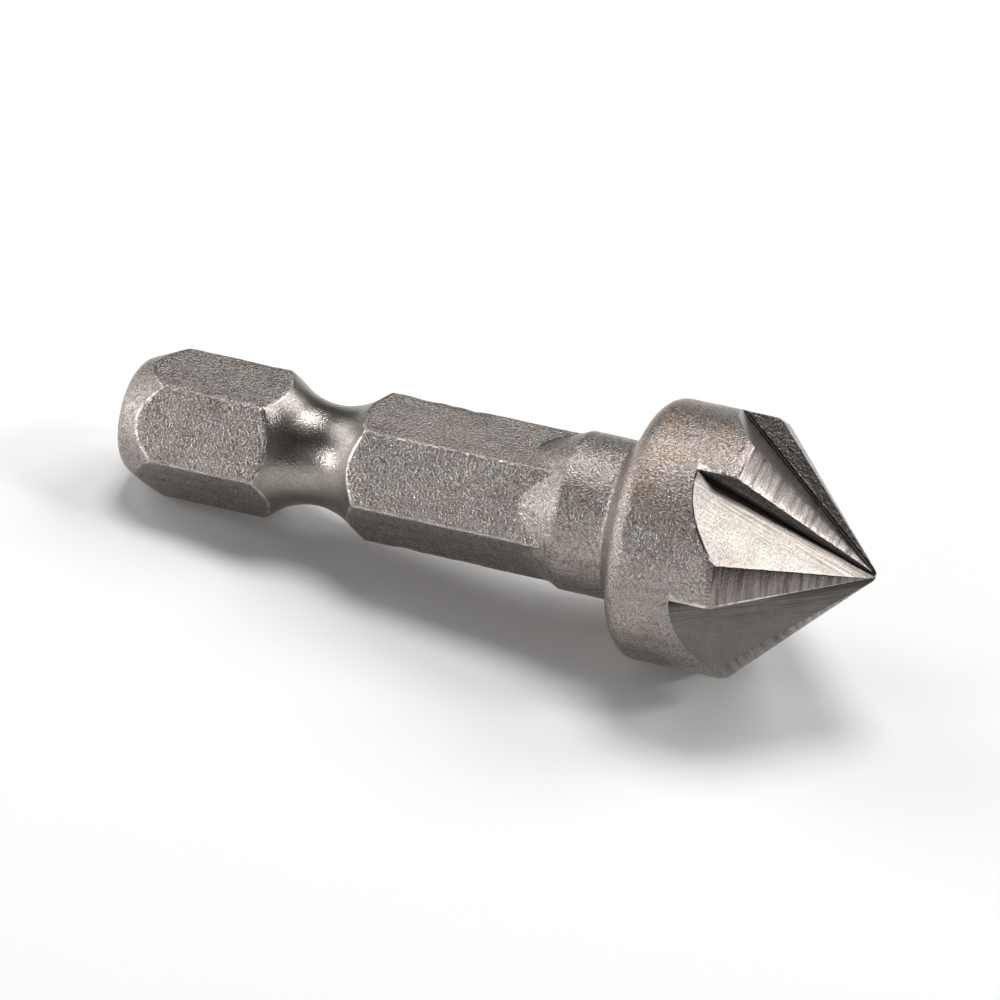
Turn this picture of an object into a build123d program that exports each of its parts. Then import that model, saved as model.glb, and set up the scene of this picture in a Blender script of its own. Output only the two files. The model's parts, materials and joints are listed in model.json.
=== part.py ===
"""Countersink bit with a hexagonal quick-change shank, turned and ground from one piece of steel.

Frame: millimetres, +Z up, +X from the shank end towards the tip. The bit lies at rest on one
shank flat and the rounded back of its head, so its axis climbs a few degrees towards the tip.
The origin is the centre of the bounding box's underside.

Along the axis, from the shank end: chamfered hexagon, detent groove, hexagon, flat run-out,
round neck, head with a rounded shoulder, and a 90 degree cone with six ground flutes.
"""

from build123d import *

import os
from math import asin, atan2, cos, degrees, hypot, radians, sin, tan

# Hexagonal shank
hex_across_flats = 6.35
hex_across_corners = 7.24
end_chamfer_length = 2.2
end_chamfer_angle = 25.0
end_rounding = 1.1

# Detent groove for a quick-change holder
groove_centre = 10.05
groove_width = 5.1
groove_diameter = 5.0

# Run-out of the flats into the round neck
hex_length = 20.75
runout_length = 2.05
runout_entry_depth = 0.1
neck_diameter = 7.76
neck_length = 2.65
neck_fillet = 0.35

# Head
head_diameter = 12.7
head_length = 5.95
shoulder_angle = 66.0
shoulder_rounding = 1.0
rim_chamfer_length = 0.4
rim_chamfer_depth = 0.15
cone_angle = 90.0

# Flutes. The cone's own apex and the point where the flute floors meet both lie past the flat tip.
flute_count = 6
flute_root_angle = 37.9
first_edge_angle = 24.7
floor_apex_past_tip = 0.08
cone_apex_past_floor_apex = 0.12

# Sizes worked out from the ones above
hex_apothem = hex_across_flats / 2
corner_radius = hex_across_corners / 2
neck_radius = neck_diameter / 2
head_radius = head_diameter / 2
land_radius = head_radius - rim_chamfer_depth

neck_start = hex_length + runout_length
head_start = neck_start + neck_length
shoulder_corner = head_start + (head_radius - neck_radius) / tan(radians(shoulder_angle))
rim_start = head_start + head_length
land_start = rim_start + rim_chamfer_length
cone_apex = land_start + land_radius / tan(radians(cone_angle / 2))
floor_apex = cone_apex - cone_apex_past_floor_apex
overall_length = floor_apex - floor_apex_past_tip
tip_cone_radius = (cone_apex - overall_length) * tan(radians(cone_angle / 2))

end_face_radius = corner_radius - end_chamfer_length * tan(radians(end_chamfer_angle))
flat_end = (hex_apothem - end_face_radius) / tan(radians(end_chamfer_angle))

# Rest pose: the line under the shank flat's end that also touches the rounded shoulder
shoulder_centre = shoulder_corner + shoulder_rounding * tan(radians(shoulder_angle / 2))
reach = shoulder_centre - flat_end
drop = head_radius - shoulder_rounding - hex_apothem
rest_tilt = atan2(drop, reach) + asin(shoulder_rounding / hypot(reach, drop))

# Place of the shank end's centre, so that the bit touches Z = 0 and is centred on the origin along X
shank_end_height = hex_apothem * cos(rest_tilt) - flat_end * sin(rest_tilt)
rounding_tangent = end_rounding * tan(radians(90 - end_chamfer_angle) / 2)
rounding_radius_place = end_face_radius - rounding_tangent
back_reach = end_rounding * (1 - cos(rest_tilt)) + rounding_radius_place * sin(rest_tilt)
front_reach = overall_length * cos(rest_tilt) + tip_cone_radius * sin(rest_tilt)
shank_end_x = (back_reach - front_reach) / 2

# Work planes. On profile_plane +X runs along the bit's axis and +Y points away from it.
profile_plane = Plane(
    origin=(shank_end_x, 0, shank_end_height),
    x_dir=(cos(rest_tilt), 0, sin(rest_tilt)),
    z_dir=(0, -1, 0),
)
section_plane = Plane(origin=profile_plane.origin, x_dir=(0, 1, 0), z_dir=profile_plane.x_dir)
bit_axis = Axis(profile_plane.origin, profile_plane.x_dir)

with BuildPart() as countersink_bit:
    # Hexagon bar, with one flat facing straight down
    with BuildSketch(section_plane):
        RegularPolygon(hex_apothem, 6, major_radius=False)
    extrude(amount=neck_start)

    # What turning leaves of the bar: the end chamfer, rounded corners and the detent groove
    with BuildSketch(profile_plane) as turned_shank:
        with BuildLine():
            chamfer_corner = (end_chamfer_length, corner_radius)
            groove_side = (groove_centre - groove_width / 2, corner_radius)
            groove_bottom = (groove_centre, groove_diameter / 2)
            far_groove_side = (groove_centre + groove_width / 2, corner_radius)
            Polyline((neck_start, 0), (0, 0), (0, end_face_radius), chamfer_corner, groove_side)
            ThreePointArc(groove_side, groove_bottom, far_groove_side)
            Polyline(far_groove_side, (neck_start, corner_radius), (neck_start, 0))
        make_face()
        end_corner = turned_shank.vertices().sort_by_distance((0, end_face_radius))[0]
        fillet(end_corner, end_rounding)
    revolve(axis=bit_axis, mode=Mode.INTERSECT)

    # Run-out, neck and head
    with BuildSketch(profile_plane) as turned_head:
        runout_entry = (hex_length - runout_length / 4, hex_apothem - runout_entry_depth)
        with BuildLine():
            ThreePointArc(runout_entry, (hex_length, hex_apothem), (neck_start, neck_radius))
            Polyline(
                (neck_start, neck_radius),
                (head_start, neck_radius),
                (shoulder_corner, head_radius),
                (rim_start, head_radius),
                (land_start, land_radius),
                (overall_length, tip_cone_radius),
                (overall_length, 0),
                (runout_entry[0], 0),
                runout_entry,
            )
        make_face()
        shoulder = turned_head.vertices().sort_by_distance((shoulder_corner, head_radius))[0]
        fillet(shoulder, shoulder_rounding)
        neck_corner = turned_head.vertices().sort_by_distance((head_start, neck_radius))[0]
        fillet(neck_corner, neck_fillet)
    revolve(axis=bit_axis)

    # Each flute has a radial rake face and a flat floor square to it
    past_tip = head_radius
    past_head = 2 * head_radius
    root_slope = tan(radians(flute_root_angle))
    for flute in range(flute_count):
        turn = Rotation(first_edge_angle + flute * 360 / flute_count, 0, 0)
        with BuildSketch(Plane(profile_plane.location * turn)):
            Polygon(
                (floor_apex + past_tip, -past_tip * root_slope),
                (floor_apex + past_tip, past_head * root_slope),
                (floor_apex - past_head, past_head * root_slope),
                align=None,
            )
        extrude(amount=head_diameter, mode=Mode.SUBTRACT)

countersink_bit.part.label = "countersink_bit"
os.makedirs("parts", exist_ok=True)
export_step(countersink_bit.part, "parts/countersink_bit.step")

box = countersink_bit.part.bounding_box()
print("overall length", round(overall_length, 3), "axis climbs", round(degrees(rest_tilt), 2), "degrees")
print("box", box.min, box.max, "volume", round(countersink_bit.part.volume, 2))
print("shank end", profile_plane.origin, "axis", profile_plane.x_dir)
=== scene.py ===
import json
from math import cos, hypot, radians, sin, tan

import bmesh
import bpy
import numpy as np
from mathutils import Matrix, Vector


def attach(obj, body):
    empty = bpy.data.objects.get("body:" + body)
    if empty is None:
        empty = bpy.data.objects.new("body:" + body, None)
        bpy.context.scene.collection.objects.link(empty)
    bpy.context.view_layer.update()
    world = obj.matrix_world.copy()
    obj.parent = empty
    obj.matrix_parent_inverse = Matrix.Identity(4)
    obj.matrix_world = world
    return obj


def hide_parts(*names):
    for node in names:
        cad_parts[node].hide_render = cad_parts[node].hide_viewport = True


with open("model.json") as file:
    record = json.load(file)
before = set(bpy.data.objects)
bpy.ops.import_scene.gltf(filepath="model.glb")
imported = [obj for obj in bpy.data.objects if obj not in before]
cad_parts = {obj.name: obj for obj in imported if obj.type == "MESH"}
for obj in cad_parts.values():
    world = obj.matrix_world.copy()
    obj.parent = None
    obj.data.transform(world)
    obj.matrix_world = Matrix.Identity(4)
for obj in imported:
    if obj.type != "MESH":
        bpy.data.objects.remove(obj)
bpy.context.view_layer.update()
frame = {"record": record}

scene = bpy.context.scene

# The bit's visible surface is one closed mesh, built in the bit's own frame: x runs along the axis from
# the shank end, and z out of the flat that faces up. Rings of points go round the axis, one at each
# station along it. BIT puts the mesh in its place.
mounts = {m["name"]: m for m in frame["record"]["mounts"]}
AXIS = -Vector(mounts["shank_end_face"]["axis"])
UP = Vector(mounts["drive_flat"]["axis"])
BIT = Matrix((AXIS, UP.cross(AXIS), UP)).transposed().to_4x4()
BIT.translation = Vector(mounts["shank_end_face"]["pos_m"])

# ---------------------------------------------------------------- sizes, in millimetres, as in part.py
APOTHEM, CORNER = 3.175, 3.62
CHAMFER_LENGTH, CHAMFER_ANGLE, END_ROUNDING = 2.2, radians(25), 1.1
GROOVE_CENTRE, GROOVE_WIDTH, GROOVE_RADIUS = 10.05, 5.1, 2.5
HEX_LENGTH, RUNOUT_LENGTH, RUNOUT_DEPTH = 20.75, 2.05, 0.1
NECK_RADIUS, NECK_START, HEAD_START = 3.88, 22.8, 25.45
SHOULDER_ANGLE, SHOULDER_ROUNDING, NECK_FILLET = radians(66), 1.0, 0.35
HEAD_RADIUS, RIM_START, LAND_START, LAND_RADIUS = 6.35, 31.4, 31.8, 6.2
LENGTH, CONE_APEX, FLOOR_APEX = 37.8, 38.0, 37.88
FIRST_EDGE, FLOOR_SLOPE = 24.7, tan(radians(37.9))
SECTORS = 6

# Only in the looks
ROOT_ROUNDING = 0.16
CORNER_WEAR = 0.018  # how far the ends of the flats are worn back
EDGE_WEAR = 0.004  # the same for the flutes' edges
TIP_STATIONS, TIP_WEAR = [LENGTH - 0.1, LENGTH - 0.05, LENGTH - 0.01], [0, 0.006, 0.03]
MARK_DEPTH = 0.014  # mean depth of the grinding marks on the lands
RIM_BAND = 0.06  # half the width of the ground band at the rim

# What a face is part of. The root is the rounding between rake face and flute floor.
# The narrow strips along the edges are lighter, partly from wear and partly as a painted highlight.
FORGED, GROOVE, RAKE, FLOOR, LAND, RIM, ROOT, WORN_AND_HIGHLIT = range(8)


def arc_through(p0, p1, p2):
    """Centre and radius of the circle through three points."""
    (x1, y1), (x2, y2), (x3, y3) = p0, p1, p2
    d = 2 * (x1 * (y2 - y3) + x2 * (y3 - y1) + x3 * (y1 - y2))
    a, b, c = x1**2 + y1**2, x2**2 + y2**2, x3**2 + y3**2
    ux = (a * (y2 - y3) + b * (y3 - y1) + c * (y1 - y2)) / d
    uy = (a * (x3 - x2) + b * (x1 - x3) + c * (x2 - x1)) / d
    return ux, uy, hypot(x1 - ux, y1 - uy)


def rounded(p0, p1, p2, radius, count):
    """Points along the rounding of the corner p1 between p0 and p2."""
    p0, p1, p2 = (np.array(p, float) for p in (p0, p1, p2))
    u, v = (p0 - p1) / np.linalg.norm(p0 - p1), (p2 - p1) / np.linalg.norm(p2 - p1)
    half = np.arccos(np.clip(u @ v, -1, 1)) / 2
    centre = p1 + (u + v) / np.linalg.norm(u + v) * radius / np.sin(half)
    start, end = p1 + u * radius / np.tan(half) - centre, p1 + v * radius / np.tan(half) - centre
    a0 = np.arctan2(start[1], start[0])
    sweep = (np.arctan2(end[1], end[0]) - a0 + np.pi) % (2 * np.pi) - np.pi
    a = a0 + sweep * np.linspace(0, 1, count)
    return np.c_[centre[0] + radius * np.cos(a), centre[1] + radius * np.sin(a)]


def lattice_noise(points, cell, seed):
    """Smooth noise from 0 to 1 at points, with features about one cell wide."""
    points = np.asarray(points, float) / cell
    low = np.floor(points.min(axis=0)).astype(int) - 1
    size = np.ceil(points.max(axis=0)).astype(int) + 2 - low
    table = np.random.RandomState(seed).rand(*size)
    base = np.floor(points).astype(int)
    f = points - base
    f = f * f * (3 - 2 * f)
    base -= low
    total = np.zeros(len(points))
    for corner in range(2 ** points.shape[1]):
        bits = [(corner >> d) & 1 for d in range(points.shape[1])]
        weight = np.prod([f[:, d] if bit else 1 - f[:, d] for d, bit in enumerate(bits)], axis=0)
        total += weight * table[tuple(base[:, d] + bit for d, bit in enumerate(bits))]
    return total


def polar(s, r, theta):
    """Points at station s, radius r and angle theta in degrees, turning from z towards -y."""
    t = np.radians(theta)
    return np.stack([s + 0 * r, -r * np.sin(t), r * np.cos(t)], axis=-1)


# ---------------------------------------------------------------- columns round the axis, in degrees
# Each sector starts at a flute's rake face. Its first part holds the flute's floor, the rest the land.
FLOOR_SPAN = 38.4
corner_at = 30 - FIRST_EDGE
corner_half = 30 - np.degrees(np.arccos(APOTHEM / CORNER))
floor_columns = np.r_[
    0, 1.1, 2.2, 3.1, corner_at + corner_half * np.array([-1, -1 / 3, 1 / 3, 1]), 7.5, 8.5,
    np.linspace(9.6, FLOOR_SPAN, 27),
]
CORNER_COLUMN = 5  # of floor_columns: it starts the strip along the middle of a corner
land_columns = np.linspace(FLOOR_SPAN, 60, 18)[1:]
N_FLOOR, N_LAND = len(floor_columns), len(land_columns)


def all_round(delta):
    """The angles of every sector's columns."""
    return np.concatenate([FIRST_EDGE + 60 * k + delta for k in range(SECTORS)])


columns = np.r_[floor_columns, land_columns[:-1]]
theta_shank = all_round(columns)
flat_radius = np.minimum(APOTHEM / np.cos(np.radians((theta_shank + 30) % 60 - 30)), CORNER)
one = np.ones_like(theta_shank)
# forged flats, with a worn line along the middle of each corner that also carries a painted highlight
hexagon_regions = np.full(len(theta_shank), FORGED)
hexagon_regions[CORNER_COLUMN :: len(columns)] = WORN_AND_HIGHLIT

# ---------------------------------------------------------------- rings up to the flutes
rings = []  # stations, radii, angles, and the region of the faces that end at the ring


def add_round(s, r, theta=theta_shank):
    rings.append((s * one, r * one, theta, FORGED))


def add_stretch(start, end, steps, radius_at, region, worn):
    """Rings from start to end, evenly spaced between a narrow strip at each end.

    worn says whether the strips at start and end are worn edges, whose light colour is partly a painted
    highlight.
    """
    strip = 0.07
    stations = [start + strip + f * (end - start - 2 * strip) for f in np.linspace(0, 1, steps)] + [end]
    for i, s in enumerate(stations):
        first, last = i == 0 and worn[0], i == steps and worn[1]
        rings.append((s, radius_at(s) - CORNER_WEAR * last, theta_shank, WORN_AND_HIGHLIT if first or last else region))


# shank end: flat face, rounding, chamfer up to the hexagon
end_face_radius = CORNER - CHAMFER_LENGTH * tan(CHAMFER_ANGLE)
end_arc = rounded((0, 0), (0, end_face_radius), (CHAMFER_LENGTH, CORNER), END_ROUNDING, 11)
INNERMOST_RING = 0.12  # as a share of the flat end face's radius; a fan of triangles fills it
for r in np.linspace(INNERMOST_RING, 1, 9)[:-1] * end_arc[0][1]:
    add_round(0, r)
for s, r in end_arc:
    add_round(s, r)
chamfer_end = (flat_radius - end_face_radius) / tan(CHAMFER_ANGLE)
add_stretch(
    end_arc[-1][0], chamfer_end, 7, lambda s: end_face_radius + s * tan(CHAMFER_ANGLE), FORGED, (False, True)
)

# hexagon, groove, hexagon, run-out
half, depth = GROOVE_WIDTH / 2, CORNER - GROOVE_RADIUS
groove_arc = (half**2 + depth**2) / (2 * depth)
groove_reach = np.sqrt(groove_arc**2 - (GROOVE_RADIUS + groove_arc - flat_radius) ** 2)
near_side, far_side = GROOVE_CENTRE - groove_reach, GROOVE_CENTRE + groove_reach
cx, cy, cr = arc_through(
    (HEX_LENGTH - RUNOUT_LENGTH / 4, APOTHEM - RUNOUT_DEPTH), (HEX_LENGTH, APOTHEM), (NECK_START, NECK_RADIUS)
)


def groove_radius(s):
    return GROOVE_RADIUS + groove_arc - np.sqrt(groove_arc**2 - (s - GROOVE_CENTRE) ** 2)


def runout_radius(s):
    return cy - np.sqrt(cr**2 - (s - cx) ** 2)


runout_s = np.linspace(HEX_LENGTH, NECK_START, 400)
runout_begin = np.interp(flat_radius, runout_radius(runout_s), runout_s)
add_stretch(chamfer_end, near_side, 29, lambda s: flat_radius, hexagon_regions, (True, True))
add_stretch(near_side, far_side, 30, groove_radius, GROOVE, (True, True))
add_stretch(far_side, runout_begin, 44, lambda s: flat_radius, hexagon_regions, (True, False))
t = np.linspace(-1, 1, 11)[1:]
for f in 0.5 + 0.5 * np.sign(t) * (1 - (1 - abs(t)) ** 1.6):  # closer together near both ends
    s = runout_begin + f * (NECK_START - runout_begin)
    rings.append((s, runout_radius(s), theta_shank, FORGED))

# neck and shoulder
shoulder_corner = HEAD_START + (HEAD_RADIUS - NECK_RADIUS) / tan(SHOULDER_ANGLE)
neck_foot, shoulder_top = (HEAD_START, NECK_RADIUS), (shoulder_corner, HEAD_RADIUS)
fillet = rounded((NECK_START, NECK_RADIUS), neck_foot, shoulder_top, NECK_FILLET, 7)
shoulder = rounded(neck_foot, shoulder_top, (RIM_START, HEAD_RADIUS), SHOULDER_ROUNDING, 17)
for s in NECK_START + (fillet[0][0] - NECK_START) * np.linspace(0, 1, 15)[1:-1]:
    add_round(s, NECK_RADIUS)
for s, r in fillet:
    add_round(s, r)
for f in np.linspace(0, 1, 6)[1:-1]:
    add_round(*(fillet[-1] + f * (shoulder[0] - fillet[-1])))
for s, r in shoulder:
    add_round(s, r)


# cylinder: the floor's columns close up towards the place where the flutes' roots come out
def closed_up(f):
    """The columns, with the floor's part closed up by the fraction f."""
    floor_part = floor_columns * (1 - f)
    land_part = 60 - (60 - land_columns[:-1]) * (60 - floor_part[-1]) / (60 - FLOOR_SPAN)
    return all_round(np.r_[floor_part, land_part])


exit_s = FLOOR_APEX - HEAD_RADIUS / FLOOR_SLOPE
for f in np.linspace(0, 1, 16)[1:]:
    add_round(shoulder[-1][0] + f * (exit_s - shoulder[-1][0]), HEAD_RADIUS, closed_up(f))

# ---------------------------------------------------------------- mesh of those rings
verts, faces, face_region = [np.zeros((1, 3))], [], []


def add_points(points):
    """Adds points and returns their numbers."""
    start = sum(map(len, verts))
    verts.append(points)
    return np.arange(start, start + len(points))


def add_faces(a, b, regions):
    """Quads between two rings of point numbers."""
    faces.extend(zip(a, b, np.roll(b, -1), np.roll(a, -1)))
    face_region.extend(np.broadcast_to(regions, len(a)))


previous = add_points(polar(*rings[0][:3]))
faces.extend((0, a, b) for a, b in zip(previous, np.roll(previous, -1)))
face_region.extend([FORGED] * len(previous))
for s, r, theta, region in rings[1:]:
    ring = add_points(polar(s, r, theta))
    add_faces(previous, ring, region)
    previous = ring

# ---------------------------------------------------------------- flutes
# Cross marks left by grinding the cone, the same all round at one station: depth, spacing, seed
mark_s = np.linspace(31, 38, 1401)
marks = sum(
    size * (lattice_noise(mark_s[:, None], cell, seed) - 0.5)
    for size, cell, seed in ((0.014, 0.55, 3), (0.009, 0.26, 4), (0.004, 0.13, 5))
)


def outer_radius(s):
    """Radius of the head before the flutes are cut, with its lands' grinding marks and the worn tip."""
    r = np.interp(s, [RIM_START, LAND_START, LENGTH], [HEAD_RADIUS, LAND_RADIUS, CONE_APEX - LENGTH])
    fade = np.clip((s - LAND_START) / 0.3, 0, 1) * np.clip((LENGTH - s) / 1.2, 0, 1)
    return r - fade * (MARK_DEPTH - np.interp(s, mark_s, marks)) - np.interp(s, TIP_STATIONS, TIP_WEAR)


WALL_POINTS, ARC_ANGLES = 4, np.radians([22, 45, 68])  # down the rake face, and round the root
N_WALL = WALL_POINTS + len(ARC_ANGLES)


def flute_ring(s):
    """One sector's angles and radii: down the rake face, round the root, along the floor, over the land."""
    outer = float(outer_radius(s))
    root = (FLOOR_APEX - s) * FLOOR_SLOPE
    height = outer - root
    rounding, lip = min(ROOT_ROUNDING, 0.55 * height), min(0.05, 0.15 * height)
    wall = [outer - lip / 4, outer - lip, (outer + root + rounding) / 2 - lip / 2, root + rounding]
    x = np.r_[[0] * WALL_POINTS, rounding * (1 - np.cos(ARC_ANGLES))]
    y = np.r_[wall, root + rounding * (1 - np.sin(ARC_ANGLES))]
    start = np.degrees(np.arctan2(rounding, root))
    heel = max(np.degrees(np.arccos(min(1, root / outer))), start + 0.2)
    floor_delta = np.linspace(start, heel, N_FLOOR)
    floor_radius = root / np.cos(np.radians(floor_delta))
    floor_radius[-1] = min(floor_radius[-1], outer) - EDGE_WEAR
    land_delta = np.linspace(heel, 60, N_LAND + 1)[1:-1]
    land_radius = np.full(len(land_delta), outer)
    land_radius[-1] -= EDGE_WEAR
    delta = np.r_[np.degrees(np.arctan2(x, y)), floor_delta, land_delta]
    return delta, np.r_[np.hypot(x, y), floor_radius, land_radius]


# the last column of each sector is the cutting edge's worn strip, whose light colour is partly a painted
# highlight
flute_regions = (
    [RAKE] * (WALL_POINTS - 1) + [ROOT] * (len(ARC_ANGLES) + 1)
    + [FLOOR] * (N_FLOOR - 1) + [LAND] * (N_LAND - 1) + [WORN_AND_HIGHLIT]
)
flute_stations = np.r_[
    exit_s + (RIM_START - exit_s) * np.linspace(0, 1, 20)[1:] ** 1.8,
    RIM_START + 0.06, RIM_START + 0.2, LAND_START - RIM_BAND, LAND_START, LAND_START + RIM_BAND,
    np.linspace(LAND_START + 0.15, TIP_STATIONS[0], 72), TIP_STATIONS[1:],
]
# The first point of each sector's ring is repeated, so that the rake face starts from it
previous = np.concatenate([np.r_[[sector[0]] * N_WALL, sector] for sector in np.split(previous, SECTORS)])
for s in flute_stations:
    delta, r = flute_ring(s)
    ring = add_points(polar(s * np.ones(SECTORS * len(r)), np.tile(r, SECTORS), all_round(delta)))
    beyond_rim = s - LAND_START
    land = FORGED if beyond_rim < -0.75 * RIM_BAND else RIM if beyond_rim < 1.5 * RIM_BAND else LAND
    regions = [land if code == LAND else code for code in flute_regions]
    add_faces(previous, ring, np.tile(regions, SECTORS))
    previous = ring
tip = add_points(np.array([[TIP_STATIONS[-1], 0.0, 0.0]]))[0]
faces.extend((a, tip, b) for a, b in zip(previous, np.roll(previous, -1)))
face_region.extend([LAND] * len(previous))
verts = np.concatenate(verts)

# ---------------------------------------------------------------- unevenness of forged and turned surfaces
s, y, z = verts.T
r = np.hypot(y, z)
radial = np.c_[0 * s, y / np.maximum(r, 1e-6), z / np.maximum(r, 1e-6)]
forged = np.clip((LAND_START - 0.2 - s) / 0.3, 0, 1)
forged[(s > exit_s) & (r < HEAD_RADIUS - 0.02)] = 0  # inside the flutes
uneven = sum(
    size * lattice_noise(verts, cell, seed)
    for size, cell, seed in ((0.020, 1.7, 11), (0.014, 0.55, 12), (0.008, 0.24, 13))
)
verts -= radial * (uneven * forged * np.clip(r / 1.5, 0, 1))[:, None]

# small nicks along the hexagon's corners and the head's rim: station, radius, angle
random = np.random.RandomState(21)
nicks = []
for k in range(SECTORS):
    for _ in range(7):
        station = random.uniform(2.2, 7.4) if random.rand() < 0.35 else random.uniform(12.8, 20.5)
        nicks.append((station, CORNER, 30 + 60 * k))
    station = random.uniform(LAND_START - 0.3, LAND_START)
    nicks.append((station, LAND_RADIUS + 0.1, FIRST_EDGE + 60 * k - random.uniform(2, 18)))
for station, radius, angle in nicks:
    size, nick_depth = random.uniform(0.12, 0.3), random.uniform(0.02, 0.05)
    away = (verts - polar(np.array(station), np.array(radius), angle)) * np.array([0.6, 1, 1])
    near = np.exp(-((np.linalg.norm(away, axis=1) / size) ** 2))
    verts -= radial * (nick_depth * near * (forged > 0))[:, None]

# ---------------------------------------------------------------- mesh object
mesh = bpy.data.meshes.new("countersink_bit_surface")
mesh.from_pydata((verts * 0.001).tolist(), [], [tuple(int(i) for i in face) for face in faces])
mesh.update()
mesh.attributes.new("region", "INT", "FACE").data.foreach_set("value", np.array(face_region, np.int32))
bm = bmesh.new()
bm.from_mesh(mesh)
bmesh.ops.remove_doubles(bm, verts=bm.verts, dist=2e-7)
bmesh.ops.recalc_face_normals(bm, faces=bm.faces)
if bm.calc_volume(signed=True) < 0:  # the faces must look outwards
    bmesh.ops.reverse_faces(bm, faces=bm.faces)
layer = bm.faces.layers.int["region"]
for edge in bm.edges:  # the flutes' edges are sharp
    pair = {face[layer] for face in edge.link_faces}
    edge.smooth = not (pair & {RAKE, FLOOR} and pair & {FORGED, LAND, RIM, WORN_AND_HIGHLIT})
bm.to_mesh(mesh)
bm.free()


def add_vectors(name, values):
    """A vector for each point of the mesh, for the materials to read."""
    attribute = mesh.attributes.new(name, "FLOAT_VECTOR", "POINT")
    attribute.data.foreach_set("vector", values.astype(np.float32).ravel())


# bit_mm: place in the bit's frame. root_mm: along the flute's root, away from it, and which flute.
local = np.zeros(len(mesh.vertices) * 3, np.float32)
mesh.vertices.foreach_get("co", local)
local = local.reshape(-1, 3) * 1000
x, y, z = local.T
flute = (np.degrees(np.arctan2(-y, z)) - FIRST_EDGE + 0.01) % 360 // 60
rake = np.radians(FIRST_EDGE + 60 * flute)
outward = -y * np.sin(rake) + z * np.cos(rake)
beside = -y * np.cos(rake) - z * np.sin(rake)
slope = np.arctan(FLOOR_SLOPE)
above_root = (outward - (FLOOR_APEX - x) * FLOOR_SLOPE) * np.cos(slope)
add_vectors("bit_mm", local)
along_root = (x - FLOOR_APEX) / np.cos(slope)
add_vectors("root_mm", np.stack([along_root, np.hypot(beside, above_root), 20 * flute], -1))

mesh.transform(BIT)
mesh.update()
region = np.zeros(len(mesh.polygons), np.int32)
mesh.attributes["region"].data.foreach_get("value", region)
mesh.polygons.foreach_set("use_smooth", np.ones(len(region), bool))
piece = bpy.data.objects.new("countersink_bit_surface", mesh)
scene.collection.objects.link(piece)


# ---------------------------------------------------------------- materials
# Texture scales are per millimetre, bump distances in metres, and colours linear.
# Colours of the painted shade in the grain's hollows, for the forged steel and the rake faces
FORGED_HOLLOW_SHADE = (0.0936, 0.0819, 0.078, 1)
RAKE_HOLLOW_SHADE = (0.12, 0.11, 0.10, 1)


class Graph:
    """A material's node tree, built by name."""

    def __init__(self, name):
        self.material = bpy.data.materials.new(name)
        self.material.use_nodes = True
        self.nodes, self.links = self.material.node_tree.nodes, self.material.node_tree.links
        self.shader = self.nodes["Principled BSDF"]
        self.position = self.attribute("bit_mm")

    def attribute(self, name):
        node = self.nodes.new("ShaderNodeAttribute")
        node.attribute_name = name
        return node.outputs["Vector"]

    def set(self, node, socket, value):
        if isinstance(value, bpy.types.NodeSocket):
            self.links.new(value, node.inputs[socket])
        else:
            node.inputs[socket].default_value = value

    def noise(self, scale, detail, rough, stretch=(1, 1, 1), source=None):
        mapping = self.nodes.new("ShaderNodeMapping")
        self.set(mapping, "Vector", source or self.position)
        self.set(mapping, "Scale", stretch)
        node = self.nodes.new("ShaderNodeTexNoise")
        self.set(node, "Vector", mapping.outputs[0])
        self.set(node, "Scale", scale)
        self.set(node, "Detail", detail)
        self.set(node, "Roughness", rough)
        return node.outputs["Fac"]

    def axis(self, name, source=None):
        node = self.nodes.new("ShaderNodeSeparateXYZ")
        self.set(node, 0, source or self.position)
        return node.outputs[name]

    def math(self, operation, a, b):
        node = self.nodes.new("ShaderNodeMath")
        node.operation = operation
        self.set(node, 0, a)
        self.set(node, 1, b)
        return node.outputs[0]

    def ramp(self, value, low, high, out_low=0.0, out_high=1.0):
        """Maps low..high to out_low..out_high, and keeps within it."""
        node = self.nodes.new("ShaderNodeMapRange")
        self.set(node, "Value", value)
        self.set(node, "From Min", low)
        self.set(node, "From Max", high)
        self.set(node, "To Min", out_low)
        self.set(node, "To Max", out_high)
        return node.outputs["Result"]

    def mix(self, factor, a, b):
        """Colour a where factor is 0, and b where it is 1."""
        node = self.nodes.new("ShaderNodeMix")
        node.data_type = "RGBA"
        factor_socket, a_socket, b_socket = 0, 6, 7
        self.set(node, factor_socket, factor)
        self.set(node, a_socket, a)
        self.set(node, b_socket, b)
        return node.outputs[2]

    def bump(self, height, distance, below=None):
        node = self.nodes.new("ShaderNodeBump")
        self.set(node, "Strength", 1.0)
        self.set(node, "Distance", distance)
        self.set(node, "Height", height)
        if below is not None:
            self.set(node, "Normal", below)
        return node.outputs[0]

    def steel(self, colour, roughness, normal):
        self.set(self.shader, "Metallic", 1.0)
        self.set(self.shader, "Base Color", colour)
        self.set(self.shader, "Roughness", roughness)
        self.set(self.shader, "Normal", normal)
        return self.material


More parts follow.
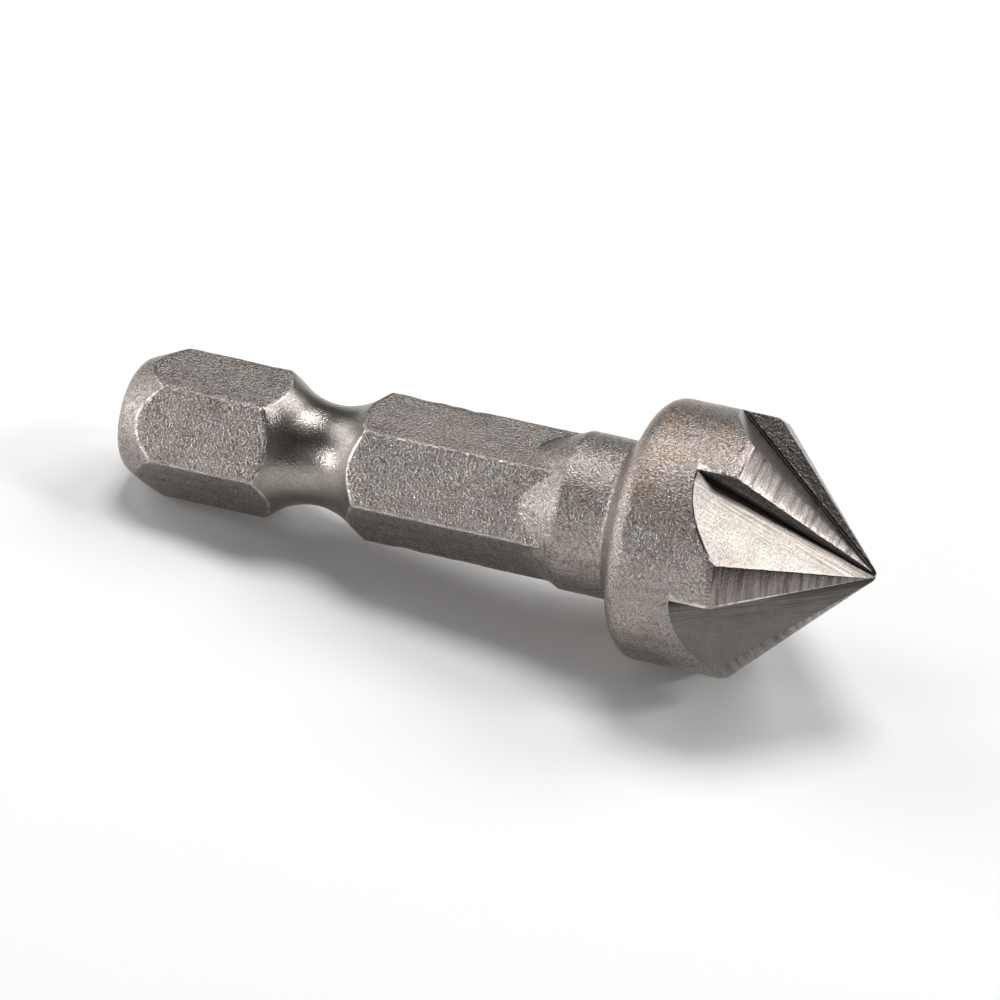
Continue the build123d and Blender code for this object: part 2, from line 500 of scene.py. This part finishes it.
def forged_steel():
    """Blasted and oiled steel: a fine bumpy grain, pits, brown stains and heat tint round the head."""
    g = Graph("forged_steel")
    grain = g.noise(9.5, 2.5, 0.6)
    pits = g.ramp(g.noise(2.6, 3, 0.6), 0.63, 0.72)
    height = g.math("SUBTRACT", grain, g.math("MULTIPLY", pits, 0.15))
    clouds = g.ramp(g.noise(0.55, 4, 0.6), 0.35, 0.68)
    colour = g.mix(clouds, (0.375, 0.341, 0.317, 1), (0.48, 0.44, 0.409, 1))
    warm = g.ramp(g.noise(0.4, 2, 0.5), 0.50, 0.66, 0.0, 0.5)
    colour = g.mix(warm, colour, (0.437, 0.39, 0.332, 1))
    streaks = g.ramp(g.noise(1.0, 3, 0.6, (0.16, 2.2, 2.2)), 0.50, 0.70, 0.0, 0.5)
    colour = g.mix(streaks, colour, (0.289, 0.218, 0.207, 1))
    # heat tint, on the upper side of the head's cylinder
    top = g.ramp(g.axis("Z"), 3.0, 6.0)
    along = g.math("MULTIPLY", g.ramp(g.axis("X"), 25.4, 27.2), g.ramp(g.axis("X"), 31.8, 29.6))
    patchy = g.ramp(g.noise(0.9, 3, 0.6), 0.38, 0.62, 0.0, 0.5)
    tint = g.math("MULTIPLY", g.math("MULTIPLY", top, along), patchy)
    colour = g.mix(tint, colour, (0.484, 0.328, 0.211, 1))
    # painted shade: darker in the grain's hollows
    colour = g.mix(g.ramp(grain, 0.56, 0.34, 0.0, 0.72), colour, FORGED_HOLLOW_SHADE)
    # painted shade: darker still in the pits
    colour = g.mix(g.math("MULTIPLY", pits, 0.55), colour, (0.078, 0.0663, 0.0624, 1))
    return g.steel(colour, g.ramp(grain, 0.35, 0.65, 0.32, 0.24), g.bump(height, 0.00006))


def turned_steel():
    """Turned and blasted steel in the groove: a finer grain and more gloss."""
    g = Graph("turned_steel")
    grain = g.noise(10.0, 2, 0.5)
    clouds = g.ramp(g.noise(0.7, 3, 0.6), 0.35, 0.68)
    colour = g.mix(clouds, (0.294, 0.269, 0.245, 1), (0.378, 0.35, 0.315, 1))
    # painted shade: darker in the grain's hollows
    colour = g.mix(g.ramp(grain, 0.55, 0.34, 0.0, 0.35), colour, (0.098, 0.0875, 0.077, 1))
    return g.steel(colour, g.ramp(grain, 0.35, 0.65, 0.34, 0.28), g.bump(grain, 0.00002))


def rake_steel():
    """Coarse milled steel on the rake faces."""
    g = Graph("rake_face")
    grain = g.noise(8.0, 2, 0.6)
    lines = g.noise(1.0, 2, 0.6, (0.3, 6.0, 1.0), g.attribute("root_mm"))
    # painted shade: darker in the grain's hollows
    colour = g.mix(g.ramp(grain, 0.60, 0.38, 0.0, 0.6), (0.70, 0.65, 0.61, 1), RAKE_HOLLOW_SHADE)
    colour = g.mix(g.ramp(lines, 0.62, 0.40, 0.0, 0.4), colour, (0.08, 0.0736, 0.0688, 1))
    return g.steel(colour, 0.42, g.bump(grain, 0.00008))


def ground_flute():
    """Ground steel with marks along the flute, scratched and with painted shade close to the root."""
    g = Graph("flute_floor")
    root = g.attribute("root_mm")
    lines = g.noise(1.0, 3, 0.65, (0.20, 9.0, 1.0), root)
    grain = g.noise(9.0, 3, 0.65)
    clouds = g.ramp(g.noise(0.9, 4, 0.6), 0.35, 0.65)
    colour = g.mix(clouds, (0.13, 0.118, 0.108, 1), (0.158, 0.144, 0.132, 1))
    distance = g.axis("Y", root)
    scratches = g.math("MULTIPLY", g.ramp(lines, 0.58, 0.40), g.ramp(distance, 1.9, 0.3, 0.06, 0.75))
    colour = g.mix(scratches, colour, (0.035, 0.0322, 0.0294, 1))
    # painted shade in the crease at the root: the floor darkens close to it
    colour = g.mix(g.ramp(distance, 0.55, 0.10, 0.0, 0.85), colour, (0.021, 0.0189, 0.0175, 1))
    # painted shade: darker in the grain's hollows
    colour = g.mix(g.ramp(grain, 0.50, 0.30, 0.0, 0.35), colour, (0.056, 0.0511, 0.0469, 1))
    normal = g.bump(grain, 0.000004, g.bump(lines, 0.000006))
    return g.steel(colour, g.ramp(grain, 0.35, 0.65, 0.24, 0.19), normal)


def ground_land(name, light, dark):
    """Ground steel with marks round the cone."""
    g = Graph(name)
    across = g.noise(1.0, 3, 0.7, (5.0, 0.25, 0.25))
    grain = g.noise(8.0, 2, 0.5)
    colour = g.mix(g.ramp(across, 0.38, 0.60), dark, light)
    # painted shade: darker in the grain's hollows
    colour = g.mix(g.ramp(grain, 0.50, 0.30, 0.0, 0.3), colour, (0.08, 0.07, 0.065, 1))
    normal = g.bump(grain, 0.000006, g.bump(across, 0.000012))
    return g.steel(colour, g.ramp(grain, 0.35, 0.65, 0.30, 0.24), normal)


def worn_edge_and_highlight():
    """Edges worn smooth in places and lighter there: partly wear, partly a painted highlight."""
    g = Graph("worn_edge_and_highlight")
    grain = g.noise(7.0, 2, 0.5)
    rubbed_and_highlit = g.ramp(g.noise(1.8, 3, 0.6), 0.40, 0.58)
    # the light colour of the rubbed places: partly wear, partly a painted highlight
    colour = g.mix(rubbed_and_highlit, (0.336, 0.304, 0.28, 1), (0.70, 0.65, 0.605, 1))
    # painted shade: darker in the grain's hollows
    colour = g.mix(g.ramp(grain, 0.55, 0.34, 0.0, 0.25), colour, (0.096, 0.088, 0.08, 1))
    return g.steel(colour, 0.30, g.bump(grain, 0.00005))


finishes = [
    (forged_steel(), [FORGED]),
    (turned_steel(), [GROOVE]),
    (rake_steel(), [RAKE]),
    (ground_flute(), [FLOOR, ROOT]),
    (ground_land("land", (0.29, 0.262, 0.244, 1), (0.13, 0.107, 0.10, 1)), [LAND]),
    (worn_edge_and_highlight(), [WORN_AND_HIGHLIT]),
    (ground_land("rim_band", (0.34, 0.285, 0.264, 1), (0.20, 0.155, 0.143, 1)), [RIM]),
]
material_index = np.zeros(len(region), np.int32)
for number, (material, regions) in enumerate(finishes):
    mesh.materials.append(material)
    material_index[np.isin(region, regions)] = number
mesh.polygons.foreach_set("material_index", material_index)
mesh.update()
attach(piece, "root")
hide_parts("countersink_bit")

# ---------------------------------------------------------------- camera
# In the bit's frame. The distance was chosen. For it, a solver gave the direction, aim and focal
# length from outline points measured in the photo, with the hexagon's corners SOLVED_CORNER from the axis.
CAMERA_AZIMUTH, CAMERA_ELEVATION, CAMERA_ROLL = radians(21.0), radians(34.14), radians(0.30)
CAMERA_DISTANCE, CAMERA_RIGHT, CAMERA_UP, CAMERA_ALONG = 600, -38.795, 8.244, 22.797
CAMERA_START = 37.73  # the station that CAMERA_ALONG is measured from
CAMERA_LENS, SOLVED_CORNER = 466.13, 3.6


def place_camera():
    azimuth, elevation, roll = CAMERA_AZIMUTH, CAMERA_ELEVATION, CAMERA_ROLL
    back = Vector((sin(azimuth) * cos(elevation), -cos(azimuth) * cos(elevation), sin(elevation)))
    level = Vector((cos(azimuth), sin(azimuth), 0))
    above = back.cross(level)
    right = cos(roll) * level + sin(roll) * above
    up = -sin(roll) * level + cos(roll) * above
    camera = bpy.data.cameras.new("camera")
    camera.lens = CAMERA_LENS
    camera.sensor_width = 36
    camera.clip_start, camera.clip_end = 0.05, 20
    ob = bpy.data.objects.new("camera", camera)
    scene.collection.objects.link(ob)
    pose = Matrix((right, up, back)).transposed().to_4x4()
    reach = CAMERA_DISTANCE * back + CAMERA_RIGHT * right + CAMERA_UP * up + Vector((CAMERA_ALONG, 0, 0))
    reach *= CORNER / SOLVED_CORNER
    pose.translation = (Vector((CAMERA_START, 0, 0)) + reach) * 0.001
    ob.matrix_world = BIT @ pose
    scene.camera = ob


place_camera()

# ---------------------------------------------------------------- floor and light
STAGE_HALF = 3.0  # metres
STAGE_WHITE = 0.94
floor_mesh = bpy.data.meshes.new("floor")
floor_corners = [(-1, -1), (1, -1), (1, 1), (-1, 1)]
floor_mesh.from_pydata([(STAGE_HALF * a, STAGE_HALF * b, 0) for a, b in floor_corners], [], [(0, 1, 2, 3)])
floor = bpy.data.objects.new("floor", floor_mesh)
scene.collection.objects.link(floor)
pale = bpy.data.materials.new("floor")
pale.use_nodes = True
pale_shader = pale.node_tree.nodes["Principled BSDF"]
pale_shader.inputs["Base Color"].default_value = (STAGE_WHITE, STAGE_WHITE, STAGE_WHITE, 1)
pale_shader.inputs["Specular IOR Level"].default_value = 0.0
pale_shader.inputs["Roughness"].default_value = 1.0
floor_mesh.materials.append(pale)

LAMP_DISTANCE = 0.45  # metres
AMBIENT = 0.03
# Name, azimuth and elevation in degrees, diameter in metres, power in watts. All but the two cards were
# chosen with a fit of trial lights to the photo's brightness. Most levels were then changed.
LAMPS = [
    ("key", 115, 70, 0.20, 1.00),
    ("back_right", 60, 45, 0.22, 0.62),
    ("back_left", 165, 35, 0.22, 0.38),
    ("right", 17, 40, 0.12, 0.50),
    ("low_right", 36, 26, 0.12, 0.10),
    ("low_front", 217, 13, 0.12, 0.68),
    ("low_left", 180, 12, 0.22, 0.44),
    ("front_card", 258, 22, 0.32, 0.05),
    ("right_card", 320, 22, 0.32, 0.05),
]


def softbox(name, azimuth, elevation, size, power):
    """A round soft lamp that faces the bit, at LAMP_DISTANCE from it."""
    azimuth, elevation = radians(azimuth), radians(elevation)
    direction = Vector((cos(azimuth) * cos(elevation), sin(azimuth) * cos(elevation), sin(elevation)))
    lamp = bpy.data.lights.new(name, "AREA")
    lamp.shape = "DISK"
    lamp.size = size
    lamp.energy = power
    ob = bpy.data.objects.new(name, lamp)
    ob.location = LAMP_DISTANCE * direction
    ob.rotation_euler = (-direction).to_track_quat("-Z", "Y").to_euler()
    scene.collection.objects.link(ob)


for lamp_values in LAMPS:
    softbox(*lamp_values)
world = bpy.data.worlds.new("world")
scene.world = world
world.use_nodes = True
background = world.node_tree.nodes["Background"]
background.inputs["Color"].default_value = (1, 1, 1, 1)
background.inputs["Strength"].default_value = AMBIENT
scene.view_settings.view_transform = "Standard"
